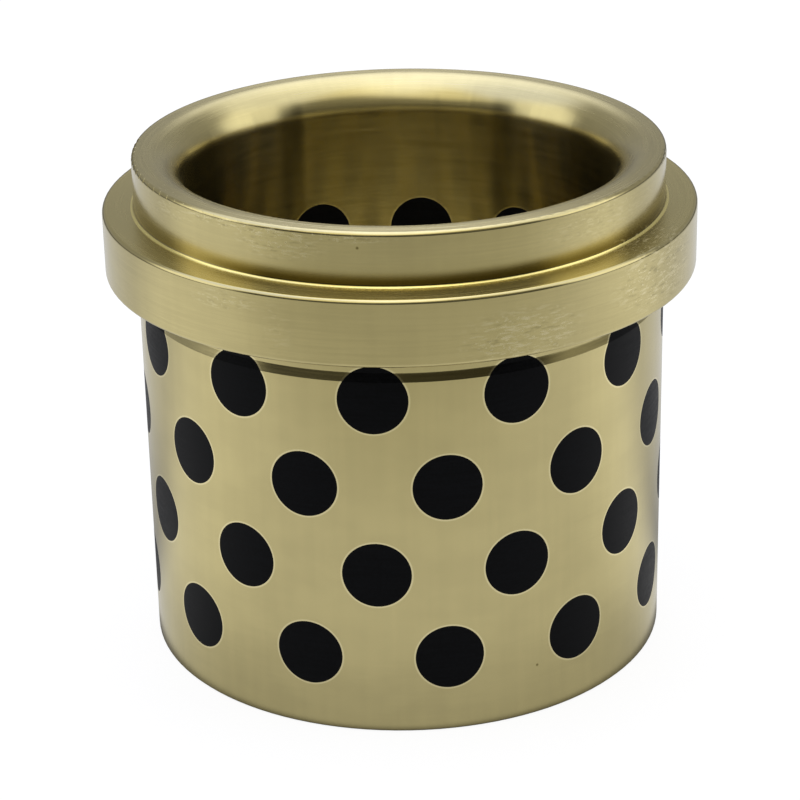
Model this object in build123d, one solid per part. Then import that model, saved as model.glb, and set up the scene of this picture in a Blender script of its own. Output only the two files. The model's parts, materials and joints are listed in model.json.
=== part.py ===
from build123d import *

import math
import os

# Guide bushing of bronze with solid-lubricant plugs, for a guide post.
# Sizes in millimetres. The origin is on the bore's axis, in the plane of the flange's underside.
# +Z runs up the bore to the spigot, and -Y is the side that the first plug of a row lies near.

# Bore and wall
bore_diameter = 65.0
wall_thickness = 7.5
bore_end_chamfer = 1.0
mouth_radius = 5.4
mouth_land = 0.2

# Lengths along the axis
shank_length = 60.0
flange_thickness = 10.0
spigot_height = 8.0

# Flange and edges
flange_step = 4.8
edge_rounding = 0.6
root_fillet = 0.5
shank_end_chamfer = 0.25

# Grinding relief in the shank under the flange
relief_width = 4.1
relief_depth = 0.35
relief_ramp_deg = 15.0
relief_corner = 0.3

# Lubricant plugs
plug_diameter = 10.1
bond_gap = 0.02
plug_rows = 4
plugs_per_row = 12
first_row_drop = 6.9
last_row_rise = 12.15
first_plug_deg = -6.4
rod_overrun = 2.0

# Sizes that follow from those above
bore_radius = bore_diameter / 2
shank_radius = bore_radius + wall_thickness
flange_radius = shank_radius + flange_step
spigot_top = flange_thickness + spigot_height
relief_radius = shank_radius - relief_depth
relief_ramp_length = relief_depth / math.tan(math.radians(relief_ramp_deg))
mouth_rounding = min(mouth_radius, wall_thickness - edge_rounding - mouth_land)
row_pitch = (shank_length - first_row_drop - last_row_rise) / (plug_rows - 1)
plug_pitch_deg = 360.0 / plugs_per_row
row_stagger_deg = plug_pitch_deg / 2
front_deg = -90.0


def wall_corners():
    """Corners of the half section, up the outside and down the bore: distance from Z, height and rounding."""
    return [
        (shank_radius - shank_end_chamfer, -shank_length, 0),
        (shank_radius, shank_end_chamfer - shank_length, 0),
        (shank_radius, -relief_width, 0),
        (relief_radius, relief_ramp_length - relief_width, 0),
        (relief_radius, 0, relief_corner),
        (flange_radius, 0, edge_rounding),
        (flange_radius, flange_thickness, edge_rounding),
        (shank_radius, flange_thickness, root_fillet),
        (shank_radius, spigot_top, edge_rounding),
        (bore_radius, spigot_top, mouth_rounding),
        (bore_radius, bore_end_chamfer - shank_length, 0),
        (bore_radius + bore_end_chamfer, -shank_length, 0),
    ]


def wall_section():
    """Half section of the turned wall, closed round the shank, flange, spigot, mouth and bore."""
    corners = wall_corners()
    with BuildSketch(Plane.XZ) as section:
        with BuildLine():
            points = [(distance, height) for distance, height, rounding in corners]
            FilletPolyline(points, radius=[rounding for distance, height, rounding in corners], close=True)
        make_face()
    return section.sketch


def turned_blank():
    """The whole wall turned about Z, before any hole, with its seam at the first plug."""
    blank = revolve(wall_section(), Axis.Z)
    return Rot(0, 0, front_deg + first_plug_deg) * blank


def radial_rod(diameter, height):
    """A round rod along -Y through the wall, longer than the wall is thick at both ends."""
    length = wall_thickness + 2 * rod_overrun
    middle = bore_radius + wall_thickness / 2
    rod = Cylinder(diameter / 2, length)
    return Pos(0, -middle, height) * Rot(90, 0, 0) * rod


def row_height(row):
    """Height of a row's centres: the first row hangs under the flange, the last stands on the end."""
    return -first_row_drop - row * row_pitch


def row_turns(row):
    """Angles of a row's plugs about Z, from the front; every other row is set half a pitch on."""
    start = first_plug_deg + (row % 2) * row_stagger_deg
    return [start + place * plug_pitch_deg for place in range(plugs_per_row)]


def bushing_body(blank):
    """The bronze body: the turned blank with a bonding hole for every plug."""
    holes = []
    for row in range(plug_rows):
        hole = radial_rod(plug_diameter + 2 * bond_gap, row_height(row))
        holes += [Rot(0, 0, turn) * hole for turn in row_turns(row)]
    return blank - holes


def row_plugs(blank, row):
    """The plugs of one row: a rod cut off flush by the wall's own turned faces, then set round."""
    flush = radial_rod(plug_diameter, row_height(row)) & blank
    plug = flush.solid()
    return [Rot(0, 0, turn) * plug for turn in row_turns(row)]


def write_node(name, shape):
    """Write one sub-part under its node's name."""
    shape.label = name
    export_step(shape, f"parts/{name}.step")


def write_parts():
    """Build the body and all plugs, and write one file for each."""
    os.makedirs("parts", exist_ok=True)
    blank = turned_blank()
    write_node("bushing_body", bushing_body(blank).solid())
    for row in range(plug_rows):
        for place, plug in enumerate(row_plugs(blank, row), start=1):
            write_node(f"plug_row{row + 1}_{place:02d}", plug)


write_parts()
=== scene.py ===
import json
import math

import bpy
from bpy.props import FloatProperty, FloatVectorProperty, PointerProperty
from mathutils import Matrix, Vector


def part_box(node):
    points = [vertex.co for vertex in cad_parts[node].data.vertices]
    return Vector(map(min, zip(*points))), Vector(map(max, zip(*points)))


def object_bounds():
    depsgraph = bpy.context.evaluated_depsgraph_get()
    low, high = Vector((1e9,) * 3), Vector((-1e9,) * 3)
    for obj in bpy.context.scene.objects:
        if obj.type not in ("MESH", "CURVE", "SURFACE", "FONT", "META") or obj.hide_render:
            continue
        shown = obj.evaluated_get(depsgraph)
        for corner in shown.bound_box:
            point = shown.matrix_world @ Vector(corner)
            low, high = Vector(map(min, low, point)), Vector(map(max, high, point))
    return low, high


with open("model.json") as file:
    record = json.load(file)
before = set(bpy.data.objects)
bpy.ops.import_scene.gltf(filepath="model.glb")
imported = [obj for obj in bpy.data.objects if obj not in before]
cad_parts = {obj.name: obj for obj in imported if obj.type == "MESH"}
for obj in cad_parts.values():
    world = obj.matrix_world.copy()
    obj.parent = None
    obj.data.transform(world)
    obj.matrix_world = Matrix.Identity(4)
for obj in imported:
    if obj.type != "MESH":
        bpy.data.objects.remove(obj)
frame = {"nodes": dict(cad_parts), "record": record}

bl_info = {
    "name": "Guide bushing looks",
    "version": (1, 0, 0),
    "blender": (4, 5, 0),
    "location": "3D View > Sidebar > Bushing",
    "description": "Finishes the turned bronze and the lubricant plugs of a guide bushing, on a plain stage",
    "category": "Object",
}

BODY_NODE = "bushing_body"
MILLIMETRE = 0.001
WHITE = (1.0, 1.0, 1.0, 1.0)
BLACK = (0.0, 0.0, 0.0, 1.0)

cad_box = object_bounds()


def mount(name):
    """One of the record's mounts, by its name."""
    return next(row for row in frame["record"]["mounts"] if row["name"] == name)


def plug_place(name):
    """Angle of a plug about Z from the front, its height and its radius, from its box."""
    low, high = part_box(name)
    middle = [(a + b) / 2 for a, b in zip(low, high)]
    angle = math.atan2(middle[0], -middle[1])
    return angle, middle[2], (high[2] - low[2]) / 2


# Pieces and sizes that the frame gives
plug_nodes = sorted(name for name in frame["nodes"] if name != BODY_NODE)
plug_rows = sum(name.endswith("_01") for name in plug_nodes)
plug_pitch = 2 * math.pi / sum(name.startswith("plug_row1_") for name in plug_nodes)
plug_radius = plug_place("plug_row1_01")[2]
bore_radius = mount("bore")["dims"]["r_mm"] * MILLIMETRE
shank_radius = max(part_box(name)[1][0] for name in plug_nodes)
flange_radius = cad_box[1][0]
flange_top = mount("flange_clamp_face")["pos_m"][2]
spigot_top = cad_box[1][2]
shank_end = cad_box[0][2]

# Sizes of the turned profile that no box shows, as the solids have them
MOUTH_ROUNDING = 5.4 * MILLIMETRE
BORE_CHAMFER = 1.0 * MILLIMETRE
EDGE_ROUNDING = 0.6 * MILLIMETRE
ROOT_FILLET = 0.5 * MILLIMETRE
RELIEF_WIDTH = 4.1 * MILLIMETRE

# How far the mesh's facets may lie off the true surface
FACET_SAG = 0.06 * MILLIMETRE
# A distance from Z or a height that is past the whole part
FAR_OUT = 2 * flange_radius


class BronzeFinish(bpy.types.PropertyGroup):
    """Colour and surface of the turned bronze."""

    colour: FloatVectorProperty(
        name="Bronze colour", description="Reflected colour of the clean turned bronze",
        subtype="COLOR", size=3, min=0, max=1, default=(0.55, 0.476, 0.23))
    bright_mark_colour: FloatVectorProperty(
        name="Bright mark colour", description="Colour of the small bright scuffs from handling, and of the bright edge round each plug's hole",
        subtype="COLOR", size=3, min=0, max=1, default=(0.84, 0.75, 0.44))
    # Painted highlight: a bright yellow glint laid on the foot of the root fillet
    painted_glint_colour: FloatVectorProperty(
        name="Painted root glint colour", description="Colour of the painted highlight on the fillet at the root of the spigot",
        subtype="COLOR", size=3, min=0, max=1, default=(0.96, 0.82, 0.29))
    # Painted reflection: the flange's upper face is tinted warmer, for the warmer light it mirrors
    painted_top_tint_colour: FloatVectorProperty(
        name="Painted upper face tint", description="Warmer colour painted on the flange's upper face, a painted reflection",
        subtype="COLOR", size=3, min=0, max=1, default=(0.55, 0.466, 0.18))
    # Painted shade: the brown laid in the corner over the flange and in the relief, which the pits use too
    pit_and_shade_colour: FloatVectorProperty(
        name="Pit and painted shade colour", description="Brown of the pits, and of the painted shade at the root and in the relief",
        subtype="COLOR", size=3, min=0, max=1, default=(0.12, 0.085, 0.006))
    # Strength of the painted shade at the root and in the relief
    painted_shade: FloatProperty(
        name="Painted shade", description="How dark the painted shade at the root of the spigot and in the grinding relief is",
        subtype="FACTOR", min=0, max=1, default=0.85)
    roughness: FloatProperty(
        name="Roughness", description="How far the turned outside spreads a reflection",
        subtype="FACTOR", min=0, max=1, default=0.175)
    faced_roughness: FloatProperty(
        name="Faced roughness", description="How far the rim, the mouth and the flange's top spread a reflection",
        subtype="FACTOR", min=0, max=1, default=0.255)
    edge_roughness: FloatProperty(
        name="Edge roughness", description="How far the rounded edges of the rim and flange spread a reflection",
        subtype="FACTOR", min=0, max=1, default=0.13)
    bore_roughness: FloatProperty(
        name="Bore roughness", description="How far the finer bored wall spreads a reflection",
        subtype="FACTOR", min=0, max=1, default=0.2)
    lay: FloatProperty(
        name="Lay", description="How much further a reflection spreads across the tool's rings than along them",
        subtype="FACTOR", min=0, max=1, default=0.8)
    mark_spacing: FloatProperty(
        name="Turning mark spacing", description="Distance from one visible ring of the tool to the next",
        subtype="DISTANCE", unit="LENGTH", min=0.00001, default=0.0003)
    mark_length: FloatProperty(
        name="Turning mark length", description="Length of a visible ring before it fades",
        subtype="DISTANCE", unit="LENGTH", min=0.0001, default=0.012)
    mark_depth: FloatProperty(
        name="Turning mark depth", description="Depth of the tool's fine rings",
        subtype="DISTANCE", unit="LENGTH", min=0, default=0.0000012)
    hole_edge: FloatProperty(
        name="Bright hole edge", description="Width of the bright edge round each plug's hole",
        subtype="DISTANCE", unit="LENGTH", min=0, default=0.00017)


class LubricantFinish(bpy.types.PropertyGroup):
    """Colour and surface of the solid-lubricant plugs."""

    colour: FloatVectorProperty(
        name="Graphite colour", description="Colour of the cut face of a plug",
        subtype="COLOR", size=3, min=0, max=1, default=(0.0022, 0.0024, 0.003))
    roughness: FloatProperty(
        name="Roughness", description="How far a plug's face spreads a reflection",
        subtype="FACTOR", min=0, max=1, default=0.42)
    gloss: FloatProperty(
        name="Gloss", description="Specular level of the graphite",
        subtype="FACTOR", min=0, max=1, default=0.06)


class StageSettings(bpy.types.PropertyGroup):
    """The photographer's camera and light tent."""

    camera_elevation: FloatProperty(
        name="Camera elevation", description="Angle of the camera above the horizon",
        subtype="ANGLE", unit="ROTATION", default=math.radians(23.405))
    camera_roll: FloatProperty(
        name="Camera roll", description="Turn of the camera about its own line of sight",
        subtype="ANGLE", unit="ROTATION", default=math.radians(-1.209))
    camera_distance: FloatProperty(
        name="Camera distance", description="Distance from the camera to the point it looks at",
        subtype="DISTANCE", unit="LENGTH", default=0.40898)
    aim: FloatVectorProperty(
        name="Aim", description="The point that the camera looks at",
        subtype="TRANSLATION", unit="LENGTH", size=3, default=(-0.000576, 0.0, -0.023994))
    lens: FloatProperty(
        name="Lens", description="Focal length on a sensor 36 mm wide",
        unit="CAMERA", default=117.84)
    overhead_level: FloatProperty(
        name="Overhead level", description="Brightness of the soft roof of the light tent, where 1 is white",
        min=0, default=2.1)
    overhead_colour: FloatVectorProperty(
        name="Overhead colour", description="Colour of the light from the roof and the slopes, mostly on the left",
        subtype="COLOR", size=3, min=0, max=2, default=(0.91, 0.97, 1.3))
    upper_level: FloatProperty(
        name="Upper level", description="Brightness of the slopes between roof and walls, where 1 is white",
        min=0, default=1.35)
    left_level: FloatProperty(
        name="Left level", description="Brightness of the light tent's left wall, where 1 is white",
        min=0, default=1.45)
    right_level: FloatProperty(
        name="Right level", description="Brightness of the light tent's right wall, where 1 is white",
        min=0, default=1.5)
    back_level: FloatProperty(
        name="Back level", description="Brightness of the wall behind the object, where 1 is white",
        min=0, default=0.38)
    front_level: FloatProperty(
        name="Front level", description="Brightness, high up, of the side behind the camera, where 1 is white",
        min=0, default=1.25)
    front_colour: FloatVectorProperty(
        name="Front colour", description="Colour of the light from the open side behind the camera",
        subtype="COLOR", size=3, min=0, max=2, default=(1.0, 0.95, 0.75))


class Graph:
    """Short calls that add nodes to one node tree and link them."""

    def __init__(self, tree):
        self.nodes = tree.nodes
        self.links = tree.links

    def feed(self, node, inputs):
        """Link a node's inputs, by name or number, to other sockets, or set them to plain values."""
        for key, value in inputs.items():
            if isinstance(value, bpy.types.NodeSocket):
                self.links.new(value, node.inputs[key])
            else:
                node.inputs[key].default_value = value

    def node(self, kind, inputs, **settings):
        """Add a node with its settings, and feed its inputs."""
        node = self.nodes.new(kind)
        for name, value in settings.items():
            setattr(node, name, value)
        self.feed(node, inputs)
        return node

    def source(self, kind, output):
        """One output of a node that has no inputs to feed, such as a texture coordinate or a light path."""
        return self.node(kind, {}).outputs[output]

    def math(self, operation, *values):
        """One Math node over sockets or numbers."""
        return self.node("ShaderNodeMath", dict(enumerate(values)), operation=operation).outputs[0]

    def chain(self, operation, values):
        """One Math node after another, over any number of values."""
        total = values[0]
        for value in values[1:]:
            total = self.math(operation, total, value)
        return total

    def plus(self, *values):
        """Sum of the values."""
        return self.chain("ADD", values)

    def times(self, *values):
        """Product of the values."""
        return self.chain("MULTIPLY", values)

    def highest(self, *values):
        """Highest of the values."""
        return self.chain("MAXIMUM", values)

    def minus(self, value, other):
        """First value less the second."""
        return self.math("SUBTRACT", value, other)

    def over(self, value, other):
        """First value divided by the second."""
        return self.math("DIVIDE", value, other)

    def length(self, x, y):
        """Length of the two values as a flat vector."""
        return self.math("SQRT", self.plus(self.times(x, x), self.times(y, y)))

    def ramp(self, value, start, end, low=0.0, high=1.0):
        """A value carried smoothly from low at start to high at end."""
        inputs = {"Value": value, "From Min": start, "From Max": end, "To Min": low, "To Max": high}
        return self.node("ShaderNodeMapRange", inputs, interpolation_type="SMOOTHSTEP").outputs[0]

    def choose(self, mask, first, second):
        """First value where the mask is 0, second where it is 1."""
        return self.plus(self.times(self.minus(1.0, mask), first), self.times(mask, second))

    def vector(self, x, y, z):
        """A vector of three values."""
        return self.node("ShaderNodeCombineXYZ", {0: x, 1: y, 2: z}).outputs[0]

    def split(self, vector):
        """The three values of a vector."""
        return self.node("ShaderNodeSeparateXYZ", {0: vector}).outputs

    def mix(self, amount, first, second):
        """First colour at 0, second at 1."""
        return self.node("ShaderNodeMix", {0: amount, 6: first, 7: second}, data_type="RGBA").outputs[2]


class TurnedPlace:
    """Where a point lies on the turned body: its distance from Z, its angle from the front and its height."""

    def __init__(self, graph):
        x, y, z = graph.split(graph.source("ShaderNodeTexCoord", "Object"))
        self.graph = graph
        self.height = z
        self.radius = graph.length(x, y)
        self.angle = graph.math("ARCTAN2", x, graph.times(y, -1.0))
        self.across = graph.over(x, self.radius)
        self.along = graph.over(y, self.radius)

    def grain(self, length, spacing, detail=2.0, roughness=0.5):
        """Noise of that length round the axis and that spacing along the profile, up or outward alike."""
        graph = self.graph
        turns = shank_radius / length
        point = graph.vector(graph.times(self.across, turns), graph.times(self.along, turns),
                             graph.over(self.height, spacing))
        inputs = {"Vector": point, "W": graph.over(self.radius, spacing), "Scale": 1.0,
                  "Detail": detail, "Roughness": roughness}
        return graph.node("ShaderNodeTexNoise", inputs, noise_dimensions="4D").outputs[0]

    def outside(self, inner):
        """1 further from Z than a distance, 0 nearer."""
        return self.graph.math("GREATER_THAN", self.radius, inner)

    def within(self, inner, outer, bottom, top):
        """1 between two distances from Z and two heights, 0 elsewhere."""
        graph = self.graph
        return graph.times(self.outside(inner), graph.math("LESS_THAN", self.radius, outer),
                           graph.math("GREATER_THAN", self.height, bottom),
                           graph.math("LESS_THAN", self.height, top))

    def sector(self, *angles):
        """1 in a sector, by the degrees from the front at which it starts, is full, starts to end and ends."""
        start, full, ending, end = (math.radians(angle) for angle in angles)
        return self.graph.times(self.graph.ramp(self.angle, start, full),
                                self.graph.ramp(self.angle, ending, end, 1.0, 0.0))

    def past(self, value, limit):
        """How far a value lies above a limit, or 0."""
        return self.graph.highest(self.graph.minus(value, limit), 0.0)

    def short(self, value, limit):
        """How far a value lies below a limit, as a negative number, or 0."""
        return self.graph.math("MINIMUM", self.graph.minus(value, limit), 0.0)

    def normal(self):
        """The turned profile's own normal, smooth across the mesh's facets, in object space.

        On a rounding it points from the rounding's centre line to the point. On a straight face it keeps the
        one share, outward or upward, that isn't 0. Faces in no region keep the mesh's normal.
        """
        graph = self.graph
        x, y, upward = graph.split(graph.source("ShaderNodeTexCoord", "Normal"))
        outward = graph.plus(graph.times(x, self.across), graph.times(y, self.along))
        mouth_foot = spigot_top - MOUTH_ROUNDING
        land = shank_radius - 2 * EDGE_ROUNDING
        fillet_edge = shank_radius + ROOT_FILLET
        fillet_top = flange_top + ROOT_FILLET
        upright_wall = shank_radius - FACET_SAG
        parts = (
            # the region, then the outward and upward shares of its normal: the bored wall
            (self.within(0.0, bore_radius + FACET_SAG, shank_end + BORE_CHAMFER, mouth_foot), -1.0, 0.0),
            # the mouth
            (self.within(0.0, land, mouth_foot, FAR_OUT),
             self.short(self.radius, bore_radius + MOUTH_ROUNDING), self.past(self.height, mouth_foot)),
            # the rim's edge and the spigot's wall
            (self.within(land, FAR_OUT, fillet_top, FAR_OUT),
             self.past(self.radius, shank_radius - EDGE_ROUNDING),
             self.past(self.height, spigot_top - EDGE_ROUNDING)),
            # the fillet at the spigot's root
            (self.within(upright_wall, fillet_edge, flange_top - FACET_SAG, fillet_top),
             graph.minus(fillet_edge, self.radius), graph.minus(fillet_top, self.height)),
            # the flange
            (self.within(fillet_edge, FAR_OUT, -FACET_SAG, flange_top + FACET_SAG),
             self.past(self.radius, flange_radius - EDGE_ROUNDING),
             graph.plus(self.past(self.height, flange_top - EDGE_ROUNDING),
                        self.short(self.height, EDGE_ROUNDING))),
            # the shank's wall
            (self.within(upright_wall, FAR_OUT, shank_end + EDGE_ROUNDING, -RELIEF_WIDTH), 1.0, 0.0),
        )
        for region, part_outward, part_upward in parts:
            outward = graph.choose(region, outward, part_outward)
            upward = graph.choose(region, upward, part_upward)
        vector = graph.vector(graph.times(outward, self.across), graph.times(outward, self.along), upward)
        return graph.node("ShaderNodeVectorMath", {0: vector}, operation="NORMALIZE").outputs[0]


def rgba(colour):
    """A colour with full alpha."""
    return (*colour, 1.0)


def new_material(name):
    """A node material, the short calls for its nodes, and its shader."""
    material = bpy.data.materials.new(name)
    material.use_nodes = True
    graph = Graph(material.node_tree)
    return material, graph, graph.nodes["Principled BSDF"]


def dress(names, material):
    """Give the named pieces one material."""
    for name in names:
        mesh = frame["nodes"][name].data
        mesh.materials.clear()
        mesh.materials.append(material)


def plug_distance(place, row):
    """Distance from the nearest plug centre of one row, with the angle folded to a plug's pitch."""
    graph = place.graph
    row_angle, row_height = plug_place(f"plug_row{row}_01")[:2]
    turned = graph.math("WRAP", graph.minus(place.angle, row_angle), plug_pitch / 2, -plug_pitch / 2)
    sideways = graph.times(graph.math("SINE", turned), place.radius)
    return graph.length(sideways, graph.minus(place.height, row_height))


def hole_edge_mask(place, width):
    """1 on a narrow bright edge round each hole, 0 elsewhere, by distance from the plug centres."""
    graph = place.graph
    nearest = plug_distance(place, 1)
    for row in range(2, plug_rows + 1):
        nearest = graph.math("MINIMUM", nearest, plug_distance(place, row))
    edge = graph.ramp(nearest, plug_radius + width, plug_radius + 2 * width, 1.0, 0.0)
    return graph.times(edge, graph.math("LESS_THAN", place.height, 0.0))


SCUFF_PATCHES = (
    # angle from the front, height, reach in angle, reach in height, strength
    (22, 3.4, 15, 5.0, 1.1),
    (57, 6.0, 18, 6.5, 1.3),
    (-34, 7.8, 9, 2.0, 0.7),
    (-23, 5.0, 4, 5.0, 0.4),
    (-25, 15.4, 12, 3.0, 0.9),
    (-26, 17.0, 30, 1.0, 1.3),
    (48, 15.0, 24, 4.0, 0.5),
    (-58, 16.4, 14, 2.0, 0.6),
)
DASH_LENGTH = 1.6 * MILLIMETRE
SPECK_LENGTH = 0.5 * MILLIMETRE
DASH_SPACING = 0.36 * MILLIMETRE
# Ramps from noise to a mark: the bright ones are on the noise's peaks, the dull ones in its hollows
BRIGHT_DASH = (0.54, 0.70)
BRIGHT_SPECK = (0.58, 0.74)
DULL_DASH = (0.28, 0.44, 1.0, 0.0)


def scuff_masks(place):
    """Where handling has scuffed the flange and spigot: bright and dull short dashes in soft oval patches."""
    graph = place.graph
    total = 0.0
    for angle, height, reach_angle, reach_height, strength in SCUFF_PATCHES:
        sideways = graph.over(graph.minus(place.angle, math.radians(angle)), math.radians(reach_angle))
        upright = graph.over(graph.minus(place.height, height * MILLIMETRE), reach_height * MILLIMETRE)
        far = graph.plus(graph.times(sideways, sideways), graph.times(upright, upright))
        total = graph.highest(total, graph.ramp(far, 1.0, 0.0, 0.0, strength))
    total = graph.times(total, place.outside(bore_radius + MOUTH_ROUNDING))
    dashes = place.grain(DASH_LENGTH, DASH_SPACING, detail=1.0)
    specks = place.grain(SPECK_LENGTH, DASH_SPACING, detail=1.0)
    bright = graph.highest(graph.ramp(dashes, *BRIGHT_DASH), graph.ramp(specks, *BRIGHT_SPECK))
    return graph.times(bright, total), graph.times(graph.ramp(dashes, *DULL_DASH), total)


# Painted reflection bands up the bore's far wall
PAINTED_BORE_BANDS = (
    # angle from the back, reach in angle, share of the light kept at the middle
    (-9, 21, 1.1),
    (16.5, 5.5, 1.4),
    (-31.5, 5.5, 0.5),
    (31, 5, 0.5),
    (48, 9, 1.5),
    (-53, 10, 1.2),
)
# Share of the light kept on the rest of the far wall, a painted shade
PAINTED_BAND_BASE = 0.85
# Degrees over which a painted band fades at its edge
PAINTED_BAND_EDGE = 4
# How far outside the bore's radius the wall starts to be the mouth, and is the mouth only
BORE_FADE = (0.2 * MILLIMETRE, 1.5 * MILLIMETRE)
# Share of Y in the direction from the axis at which the far wall starts, and is the far wall only
FAR_WALL = (-0.1, 0.2)


def in_bore(place):
    """1 on the bored wall, fading to 0 at the foot of the mouth."""
    start, end = (bore_radius + reach for reach in BORE_FADE)
    return place.graph.ramp(place.radius, start, end, 1.0, 0.0)


def painted_bore_bands(place):
    """Painted reflections: brighter and duller bands that run up the bore's far wall."""
    graph = place.graph
    from_back = graph.math("ARCTAN2", place.across, place.along)
    level = PAINTED_BAND_BASE
    for angle, reach, share in PAINTED_BORE_BANDS:
        off = graph.math("ABSOLUTE", graph.minus(from_back, math.radians(angle)))
        band = graph.ramp(off, math.radians(reach - PAINTED_BAND_EDGE), math.radians(reach), 1.0, 0.0)
        level = graph.choose(band, level, share)
    far_wall = graph.times(in_bore(place), graph.ramp(place.along, *FAR_WALL))
    return graph.choose(far_wall, 1.0, level)


PITS = (
    # angle from the front and height
    (-8.6, 15.8),
    (28.2, -51.9),
)
# Distances from a pit's middle to the edge of its dark floor, and to its own edge
PIT_REACH = (0.09 * MILLIMETRE, 0.3 * MILLIMETRE)


def pit_mask(place):
    """1 inside the small dark pits of the spigot and the shank, 0 elsewhere."""
    graph = place.graph
    mask = 0.0
    for angle, height in PITS:
        sideways = graph.times(graph.minus(place.angle, math.radians(angle)), place.radius)
        far = graph.length(sideways, graph.minus(place.height, height * MILLIMETRE))
        mask = graph.highest(mask, graph.ramp(far, *PIT_REACH, 1.0, 0.0))
    return graph.times(mask, place.outside(shank_radius - FACET_SAG))


def rounded_edges(place):
    """1 on the small roundings of the rim and of the flange's two edges, 0 elsewhere."""
    flange_edge = flange_radius - EDGE_ROUNDING
    return place.graph.highest(
        place.within(shank_radius - EDGE_ROUNDING, FAR_OUT, spigot_top - EDGE_ROUNDING, FAR_OUT),
        place.within(flange_edge, FAR_OUT, flange_top - EDGE_ROUNDING, FAR_OUT),
        place.within(flange_edge, FAR_OUT, -FACET_SAG, EDGE_ROUNDING))


def flange_top_face(place):
    """1 on the flange's flat upper face, 0 elsewhere."""
    return place.within(shank_radius, flange_radius, flange_top - FACET_SAG, flange_top + FACET_SAG)


# Height of the painted highlight on the foot of the root fillet
PAINTED_GLINT_HEIGHT = 0.25 * MILLIMETRE


def painted_root_glint(place):
    """1 on the foot of the fillet between the spigot and the flange, where a bright painted highlight is laid."""
    return place.within(shank_radius, shank_radius + ROOT_FILLET, flange_top - FACET_SAG,
                        flange_top + PAINTED_GLINT_HEIGHT)


# Heights over the flange at which the root's painted shade starts to fade, and is gone
ROOT_PAINTED_SHADE = (0.6 * MILLIMETRE, 2.6 * MILLIMETRE)
# How far from the spigot's wall the root's painted shade is laid
ROOT_WALL = 0.1 * MILLIMETRE
# Depths under the shank's surface between which the relief's ramp lies
RELIEF_RAMP = (0.02 * MILLIMETRE, 0.32 * MILLIMETRE)
# Where the root's painted shade is lighter, and what share of it is left there
LIGHTER_SHADE_SECTOR = (-120, -90, -49, -33)
LIGHTER_SHADE_SHARE = 0.3
# Where the relief gets painted shade, and how much of it there is beside the root's
RELIEF_SHADE_SECTOR = (-25, 5, 55, 80)
RELIEF_SHADE_SHARE = 0.6


def painted_shade_mask(place):
    """Painted shade: 1 in the corner over the flange, up to 0.6 in the relief under it, 0 elsewhere."""
    graph = place.graph
    start, end = (flange_top + height for height in ROOT_PAINTED_SHADE)
    wall = place.within(shank_radius - ROOT_WALL, shank_radius + ROOT_WALL, flange_top + PAINTED_GLINT_HEIGHT, FAR_OUT)
    root = graph.times(wall, graph.ramp(place.height, start, end, 1.0, 0.0),
                       graph.choose(place.sector(*LIGHTER_SHADE_SECTOR), 1.0, LIGHTER_SHADE_SHARE))
    shallow, deep = RELIEF_RAMP
    relief = graph.times(place.within(shank_radius - deep, shank_radius - shallow, -RELIEF_WIDTH, 0.0),
                         place.sector(*RELIEF_SHADE_SECTOR), RELIEF_SHADE_SHARE)
    return graph.highest(root, relief)


# Length and spacing of the broad cloudiness, and of the chatter that runs up the walls
CLOUD_SIZE = (9 * MILLIMETRE, 5 * MILLIMETRE)
CHATTER_SIZE = (1.3 * MILLIMETRE, 30 * MILLIMETRE)
# Noise at which each pattern is darkest, and lightest
RING_NOISE = (0.25, 0.75)
CLOUD_NOISE = (0.3, 0.7)
# How far the patterns darken and lighten the bronze, and what the darkest and lightest shades multiply it by
RING_SHADE = 0.6
CLOUD_SHADE = 0.3
CHATTER_SHADE = 0.15
CLEAN_SHARES = (0.93, 1.07)
# Share of the rings left on the ground shank and the bored wall
GROUND_SHARE = 0.3
# How far the rings swing the roughness either way, and what a bright scuff adds to it
RING_ROUGHNESS = 0.03
SCUFF_ROUGHNESS = 0.15
# Upward share of the normal at which a surface starts to be a faced one, and is one
FACED = (0.3, 0.8)
# How much of its own colour each mark lays over the bronze
PAINTED_TOP_TINT_SHARE = 0.8
DULL_SCUFF_SHARE = 0.5
BRIGHT_SCUFF_SHARE = 0.7
PAINTED_GLINT_SHARE = 0.8
PIT_SHARE = 0.75
HOLE_EDGE_SHARE = 0.6
# What a dull scuff multiplies the clean bronze by
DULL_SCUFF_LEVEL = 0.6
# Turns the lay's blur so that it lies across the tool's rings
QUARTER_TURN = 0.25


def clean_bronze(place, rings, clean):
    """Colour of the unmarked bronze: the tool's rings, a soft cloudiness, a faint chatter up the walls, and
    painted reflection bands up the bore's far wall.
    """
    graph = place.graph
    cloud = place.grain(*CLOUD_SIZE)
    chatter = place.grain(*CHATTER_SIZE)
    ground = graph.highest(in_bore(place), graph.math("LESS_THAN", place.height, 0.0))
    shade = graph.plus(
        graph.times(graph.ramp(rings, *RING_NOISE, -RING_SHADE, RING_SHADE),
                    graph.choose(ground, 1.0, GROUND_SHARE)),
        graph.ramp(cloud, *CLOUD_NOISE, -CLOUD_SHADE, CLOUD_SHADE),
        graph.ramp(chatter, *CLOUD_NOISE, -CHATTER_SHADE, CHATTER_SHADE))
    dark, light = (rgba(clean * share) for share in CLEAN_SHARES)
    # painted reflection bands on the bore's far wall
    return graph.mix(painted_bore_bands(place), BLACK, graph.mix(graph.ramp(shade, -1.0, 1.0), dark, light))


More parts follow.
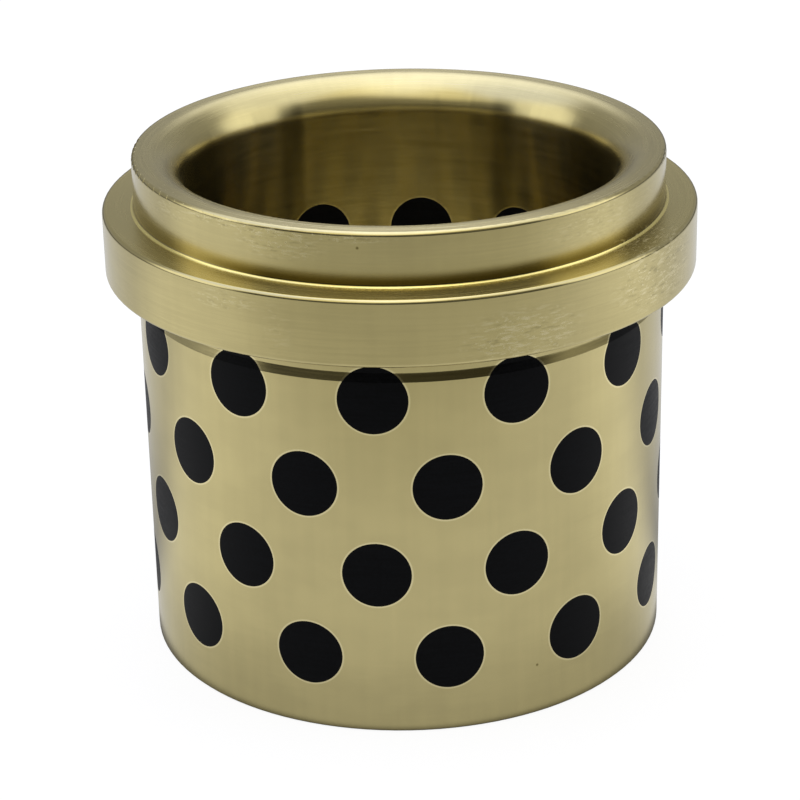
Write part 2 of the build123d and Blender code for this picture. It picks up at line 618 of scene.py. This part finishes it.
def bronze_material(finish):
    """Satin turned bronze: reflections spread across the tool's rings, with marks, scuffs, bright edges, and
    painted highlight, shade and reflections.
    """
    material, graph, shader = new_material("turned_bronze")
    place = TurnedPlace(graph)
    rings = place.grain(finish.mark_length, finish.mark_spacing, detail=3.0, roughness=0.6)
    bright_scuffs, dull_scuffs = scuff_masks(place)
    clean = Vector(finish.colour)
    colour = clean_bronze(place, rings, clean)
    for mask, share, mark_colour in (
            # painted warm reflection on the flange's upper face
            (flange_top_face(place), PAINTED_TOP_TINT_SHARE, finish.painted_top_tint_colour),
            # painted shade in the corner over the flange and in the relief
            (painted_shade_mask(place), finish.painted_shade, finish.pit_and_shade_colour),
            (dull_scuffs, DULL_SCUFF_SHARE, clean * DULL_SCUFF_LEVEL),
            (bright_scuffs, BRIGHT_SCUFF_SHARE, finish.bright_mark_colour),
            # painted highlight on the root fillet
            (painted_root_glint(place), PAINTED_GLINT_SHARE, finish.painted_glint_colour),
            (pit_mask(place), PIT_SHARE, finish.pit_and_shade_colour),
            (hole_edge_mask(place, finish.hole_edge), HOLE_EDGE_SHARE, finish.bright_mark_colour)):
        colour = graph.mix(graph.times(mask, share), colour, rgba(mark_colour))

    normal = place.normal()
    facing = graph.split(normal)[2]
    wall = graph.choose(in_bore(place), finish.roughness, finish.bore_roughness)
    faced = graph.times(graph.ramp(facing, *FACED), finish.faced_roughness - finish.roughness)
    worked = graph.choose(rounded_edges(place), graph.plus(wall, faced), finish.edge_roughness)
    roughness = graph.plus(worked, graph.ramp(rings, *RING_NOISE, -RING_ROUGHNESS, RING_ROUGHNESS),
                           graph.times(bright_scuffs, SCUFF_ROUGHNESS))

    in_world = graph.node("ShaderNodeVectorTransform", {0: normal}, vector_type="NORMAL",
                          convert_from="OBJECT", convert_to="WORLD").outputs[0]
    bump = graph.node("ShaderNodeBump", {"Height": rings, "Distance": finish.mark_depth, "Strength": 1.0,
                                         "Normal": in_world})
    tangent = graph.node("ShaderNodeTangent", {}, direction_type="RADIAL", axis="Z")
    graph.feed(shader, {
        "Base Color": colour,
        "Metallic": 1.0,
        "Roughness": roughness,
        "Anisotropic": finish.lay,
        "Anisotropic Rotation": QUARTER_TURN,
        "Tangent": tangent.outputs[0],
        "Normal": bump.outputs[0],
    })
    return material


PLUG_RING_SIZE = (6 * MILLIMETRE, 0.25 * MILLIMETRE)
GRAINS_PER_METRE = 2600.0
PLUG_COLOUR_NOISE = (0.35, 0.65)
PLUG_COLOUR_SHARES = (0.7, 1.5)
PLUG_GLOSS_NOISE = (0.3, 0.7)
PLUG_ROUGHNESS_SWING = 0.06


def lubricant_material(finish):
    """Graphite cut off with the bronze: near black, with a faint grain in its colour and gloss."""
    material, graph, shader = new_material("solid_lubricant")
    rings = TurnedPlace(graph).grain(*PLUG_RING_SIZE)
    point = graph.source("ShaderNodeTexCoord", "Object")
    grains = graph.node("ShaderNodeTexNoise", {"Vector": point, "Scale": GRAINS_PER_METRE}).outputs[0]
    shade = graph.times(graph.plus(rings, grains), 0.5)
    dark, light = (rgba(Vector(finish.colour) * share) for share in PLUG_COLOUR_SHARES)
    graph.feed(shader, {
        "Base Color": graph.mix(graph.ramp(shade, *PLUG_COLOUR_NOISE), dark, light),
        "Roughness": graph.ramp(shade, *PLUG_GLOSS_NOISE, finish.roughness - PLUG_ROUGHNESS_SWING,
                                finish.roughness + PLUG_ROUGHNESS_SWING),
        "Specular IOR Level": finish.gloss,
    })
    return material


class BUSHING_OT_turned_body(bpy.types.Operator):
    """Give the body its turned bronze finish"""

    bl_idname = "bushing.turned_body"
    bl_label = "Turned body"

    def execute(self, context):
        dress([BODY_NODE], bronze_material(context.scene.bronze_finish))
        return {"FINISHED"}


class BUSHING_OT_lubricant_plugs(bpy.types.Operator):
    """Give every plug its graphite finish"""

    bl_idname = "bushing.lubricant_plugs"
    bl_label = "Lubricant plugs"

    def execute(self, context):
        dress(plug_nodes, lubricant_material(context.scene.lubricant_finish))
        return {"FINISHED"}


FLOOR_REACH = 2.0
PAPER_COLOUR = (0.8, 0.8, 0.8, 1.0)
PAPER_SHARE = 0.18
PAPER_CAMERA_LEVEL = 1.07
# Level of the paper inside the bore in reflections, a painted pool of light
PAPER_PAINTED_BORE_LIGHT = 1.5
PAPER_FRONT_COLOUR = (1.0, 0.985, 0.84, 1.0)
# Ramps of the paper as the bronze mirrors it: where each starts and ends, and its value at either end.
# By Y: the level in front, the change from the front's colour to white, the fall towards the unlit room
PAPER_FRONT = (-0.2, -0.09, 0.5, 0.75)
PAPER_FRONT_TO_WHITE = (-0.2, -0.08)
PAPER_ROOM_FALL = (-0.5, -0.2, 0.15, 1.0)
# By the share of X in the direction from the axis, left to right: where the lit side starts and is full, by the
# share of Y, and its level
PAPER_SIDE_START = (-1.0, 1.0, -0.85, -0.5)
PAPER_SIDE_FULL = (-1.0, 1.0, -0.2, -0.02)
PAPER_SIDE = (-1.0, 1.0, 0.95, 1.02)
# By the share of Y: the change from the lit sides to the paper behind
PAPER_SIDE_TO_BEHIND = (0.05, 0.45)
# By distance from the axis: the painted shade behind the object, the painted shade close to the shank, and the
# fall far away
PAPER_PAINTED_BEHIND_SHADE = (0.055, 0.13, 0.33, 0.68)
PAPER_PAINTED_NEAR_SHADE = (0.042, 0.075, 0.72, 1.0)
PAPER_FAR = (0.25, 0.6, 1.0, 0.25)
# By distance from the shank's edge: the painted contact shadow
PAPER_PAINTED_CONTACT_SHADOW = (0.0, 2 * MILLIMETRE, 0.12, 1.0)


def reflected_paper(graph):
    """How bright the paper looks in the bronze: lit at both sides, dim in front, with painted shade behind and at
    the shank and a painted pool of light inside the bore.
    """
    x, y = graph.split(graph.source("ShaderNodeTexCoord", "Object"))[:2]
    distance = graph.length(x, y)
    aside = graph.over(x, distance)
    backness = graph.over(y, distance)
    level = graph.times(
        graph.ramp(backness, graph.ramp(aside, *PAPER_SIDE_START), graph.ramp(aside, *PAPER_SIDE_FULL),
                   graph.ramp(y, *PAPER_FRONT), graph.ramp(aside, *PAPER_SIDE)),
        graph.ramp(backness, *PAPER_SIDE_TO_BEHIND, 1.0, graph.ramp(distance, *PAPER_PAINTED_BEHIND_SHADE)),
        graph.ramp(distance, *PAPER_PAINTED_NEAR_SHADE),
        graph.ramp(distance, *PAPER_FAR),
        graph.ramp(y, *PAPER_ROOM_FALL))
    inside = graph.math("LESS_THAN", distance, bore_radius)
    level = graph.choose(inside, level, PAPER_PAINTED_BORE_LIGHT)
    off_contact = graph.math("ABSOLUTE", graph.minus(distance, shank_radius))
    # painted contact shadow at the shank's edge
    return graph.times(level, graph.ramp(off_contact, *PAPER_PAINTED_CONTACT_SHADOW))


def floor_material():
    """White paper: it keeps a shadow, and in reflections it is warm in front, dark towards the unlit room, with
    the object's painted shadow and a painted pool of light inside the bore.
    """
    material, graph, paper = new_material("floor")
    graph.feed(paper, {"Base Color": PAPER_COLOUR, "Roughness": 1.0, "Specular IOR Level": 0.0})
    path = graph.node("ShaderNodeLightPath", {}).outputs
    camera = path["Is Camera Ray"]
    seen = graph.highest(camera, path["Is Glossy Ray"], path["Is Transmission Ray"])
    level = graph.highest(reflected_paper(graph), graph.times(camera, PAPER_CAMERA_LEVEL))
    y = graph.split(graph.source("ShaderNodeTexCoord", "Object"))[1]
    colour = graph.mix(graph.ramp(y, *PAPER_FRONT_TO_WHITE), PAPER_FRONT_COLOUR, WHITE)
    white = graph.node("ShaderNodeEmission", {"Color": graph.mix(camera, colour, WHITE), "Strength": level})
    share = graph.times(seen, 1.0 - PAPER_SHARE)
    both = graph.node("ShaderNodeMixShader", {0: share, 1: paper.outputs[0], 2: white.outputs[0]})
    graph.feed(graph.nodes["Material Output"], {"Surface": both.outputs[0]})
    return material


# Ramps of the light tent by direction: where each starts and ends, and its value at either end. Height is the
# direction's Z. Its flat part gives the shares forward, 1 to the camera's side, and aside, 1 to the right.
# By forward: the lit walls' end in front, the unlit back into the front, the slopes' end, the front's colour
TENT_WALL_END = (0.25, 0.56, 1.0, 0.0)
TENT_BACK_TO_FRONT = (-0.3, 0.3)
TENT_SLOPE_END = (0.35, 0.8, 1.0, 0.0)
TENT_FRONT_TINT = (0.3, 0.7)
# By forward and this share of the height: the lit walls' start at the back
TENT_WALL_START = (-0.3, 0.0)
TENT_WALL_LEAN = 0.5
# By height: the front's low part, with its shares of the front level, the dim horizon and the foot of the slopes
TENT_FRONT_LOW = (0.0, 0.5)
TENT_FRONT_LOW_SHARES = (0.03, 0.2)
TENT_HORIZON = (0.02, 0.14, 0.25, 1.0)
TENT_SLOPE_START = (0.6, 0.75)
# By aside: the height at which the front starts to be bright, and how much higher it is so
TENT_SILL = (-0.5, 0.5, 0.38, 0.6)
TENT_SILL_SOFTNESS = 0.25
# By X: the share of the overhead colour
TENT_OVERHEAD_TINT = (-0.5, 0.5, 1.0, 0.3)
# By X and Y over the height: the roof's sides, its front and its back
TENT_ROOF_SIDES = (0.0, 0.55, 1.0, 0.0)
TENT_ROOF_FRONT = (-1.5, 0.0)
TENT_ROOF_BACK = (1.3, 2.4, 1.0, 0.0)
# The least length and height that anything is divided by
LEAST_FLAT = 0.001
LEAST_HEIGHT = 0.05


def tent_walls(graph, settings, forward, aside, height):
    """Level of the tent up to its slopes: two lit walls, a dim back, and a front that is bright only high up."""
    walls = graph.ramp(aside, -1.0, 1.0, settings.left_level, settings.right_level)
    leaning = graph.plus(forward, graph.times(height, TENT_WALL_LEAN))
    lit = graph.times(graph.ramp(leaning, *TENT_WALL_START), graph.ramp(forward, *TENT_WALL_END))
    darkest, dim = (share * settings.front_level for share in TENT_FRONT_LOW_SHARES)
    sill = graph.ramp(aside, *TENT_SILL)
    front = graph.highest(
        graph.ramp(height, *TENT_FRONT_LOW, darkest, dim),
        graph.ramp(height, sill, graph.plus(sill, TENT_SILL_SOFTNESS), 0.0, settings.front_level))
    unlit = graph.ramp(forward, *TENT_BACK_TO_FRONT, settings.back_level, front)
    return graph.times(graph.choose(lit, unlit, walls), graph.ramp(height, *TENT_HORIZON))


def tent_roof(graph, x, y, z):
    """1 on the soft panel overhead that runs far back, fading by x/z to the sides and y/z to front and back."""
    height = graph.highest(z, LEAST_HEIGHT)
    sideways = graph.math("ABSOLUTE", graph.over(x, height))
    backward = graph.over(y, height)
    return graph.times(graph.ramp(sideways, *TENT_ROOF_SIDES), graph.ramp(backward, *TENT_ROOF_FRONT),
                       graph.ramp(backward, *TENT_ROOF_BACK))


def studio_world(settings):
    """A light tent by direction: a soft roof, bright slopes, two lit walls, a dim back and an open front.

    The front is dark low down and bright high up. Its light is warm, and the light from overhead is cool.
    """
    world = bpy.data.worlds.new("studio")
    world.use_nodes = True
    graph = Graph(world.node_tree)
    x, y, z = graph.split(graph.source("ShaderNodeTexCoord", "Generated"))
    flat = graph.highest(graph.length(x, y), LEAST_FLAT)
    forward = graph.over(graph.times(y, -1.0), flat)
    aside = graph.over(x, flat)
    slopes = graph.times(graph.ramp(z, *TENT_SLOPE_START), graph.ramp(forward, *TENT_SLOPE_END))
    roof = tent_roof(graph, x, y, z)
    level = graph.choose(slopes, tent_walls(graph, settings, forward, aside, z), settings.upper_level)
    level = graph.choose(roof, level, settings.overhead_level)
    low_tint = graph.mix(graph.ramp(forward, *TENT_FRONT_TINT), WHITE, rgba(settings.front_colour))
    high = graph.times(graph.highest(roof, slopes), graph.ramp(x, *TENT_OVERHEAD_TINT))
    tint = graph.mix(high, low_tint, rgba(settings.overhead_colour))
    camera = graph.source("ShaderNodeLightPath", "Is Camera Ray")
    graph.feed(graph.nodes["Background"], {"Color": graph.mix(camera, tint, WHITE),
                                           "Strength": graph.highest(level, camera)})
    return world


def add_floor():
    """A flat sheet under the object, at the level it stands on."""
    level = cad_box[0][2]
    corners = [(x * FLOOR_REACH, y * FLOOR_REACH, level) for x, y in ((-1, -1), (1, -1), (1, 1), (-1, 1))]
    mesh = bpy.data.meshes.new("floor")
    mesh.from_pydata(corners, [], [(0, 1, 2, 3)])
    mesh.materials.append(floor_material())
    floor = bpy.data.objects.new("floor", mesh)
    bpy.context.scene.collection.objects.link(floor)


SENSOR_WIDTH = 36.0
CLIP_REACH = (0.01, 20.0)


def add_camera(settings):
    """The camera at the photograph's viewing angle."""
    data = bpy.data.cameras.new("camera")
    data.lens = settings.lens
    data.sensor_width = SENSOR_WIDTH
    data.clip_start, data.clip_end = CLIP_REACH
    camera = bpy.data.objects.new("camera", data)
    bpy.context.scene.collection.objects.link(camera)
    elevation, roll = settings.camera_elevation, settings.camera_roll
    back_line = Vector((0, -math.cos(elevation), math.sin(elevation)))
    right = Vector((1, 0, 0))
    up = back_line.cross(right)
    across = math.cos(roll) * right + math.sin(roll) * up
    upright = -math.sin(roll) * right + math.cos(roll) * up
    place = Vector(settings.aim) + settings.camera_distance * back_line
    turn = Matrix((across, upright, back_line)).transposed().to_4x4()
    camera.matrix_world = Matrix.Translation(place) @ turn
    bpy.context.scene.camera = camera


class BUSHING_OT_stage(bpy.types.Operator):
    """Set the floor, the light tent and the camera"""

    bl_idname = "bushing.stage"
    bl_label = "Stage"

    def execute(self, context):
        settings = context.scene.stage_settings
        context.scene.view_settings.view_transform = "Standard"
        context.scene.world = studio_world(settings)
        add_floor()
        add_camera(settings)
        return {"FINISHED"}


class BUSHING_PT_panel(bpy.types.Panel):
    """Lists the steps in the sidebar"""

    bl_idname = "BUSHING_PT_panel"
    bl_label = "Guide bushing"
    bl_space_type = "VIEW_3D"
    bl_region_type = "UI"
    bl_category = "Bushing"

    def draw(self, context):
        for step in STEPS:
            self.layout.operator(step.bl_idname)


GROUPS = {"bronze_finish": BronzeFinish, "lubricant_finish": LubricantFinish, "stage_settings": StageSettings}
STEPS = (BUSHING_OT_stage, BUSHING_OT_turned_body, BUSHING_OT_lubricant_plugs)
CLASSES = (*GROUPS.values(), *STEPS, BUSHING_PT_panel)


def register():
    """Add the settings, the steps and the panel."""
    for kind in CLASSES:
        bpy.utils.register_class(kind)
    for name, kind in GROUPS.items():
        setattr(bpy.types.Scene, name, PointerProperty(type=kind))


def unregister():
    """Take them away again."""
    for name in GROUPS:
        delattr(bpy.types.Scene, name)
    for kind in reversed(CLASSES):
        bpy.utils.unregister_class(kind)


def main():
    """Run the steps in order."""
    register()
    bpy.ops.bushing.stage()
    bpy.ops.bushing.turned_body()
    bpy.ops.bushing.lubricant_plugs()


if __name__ == "__main__":
    main()
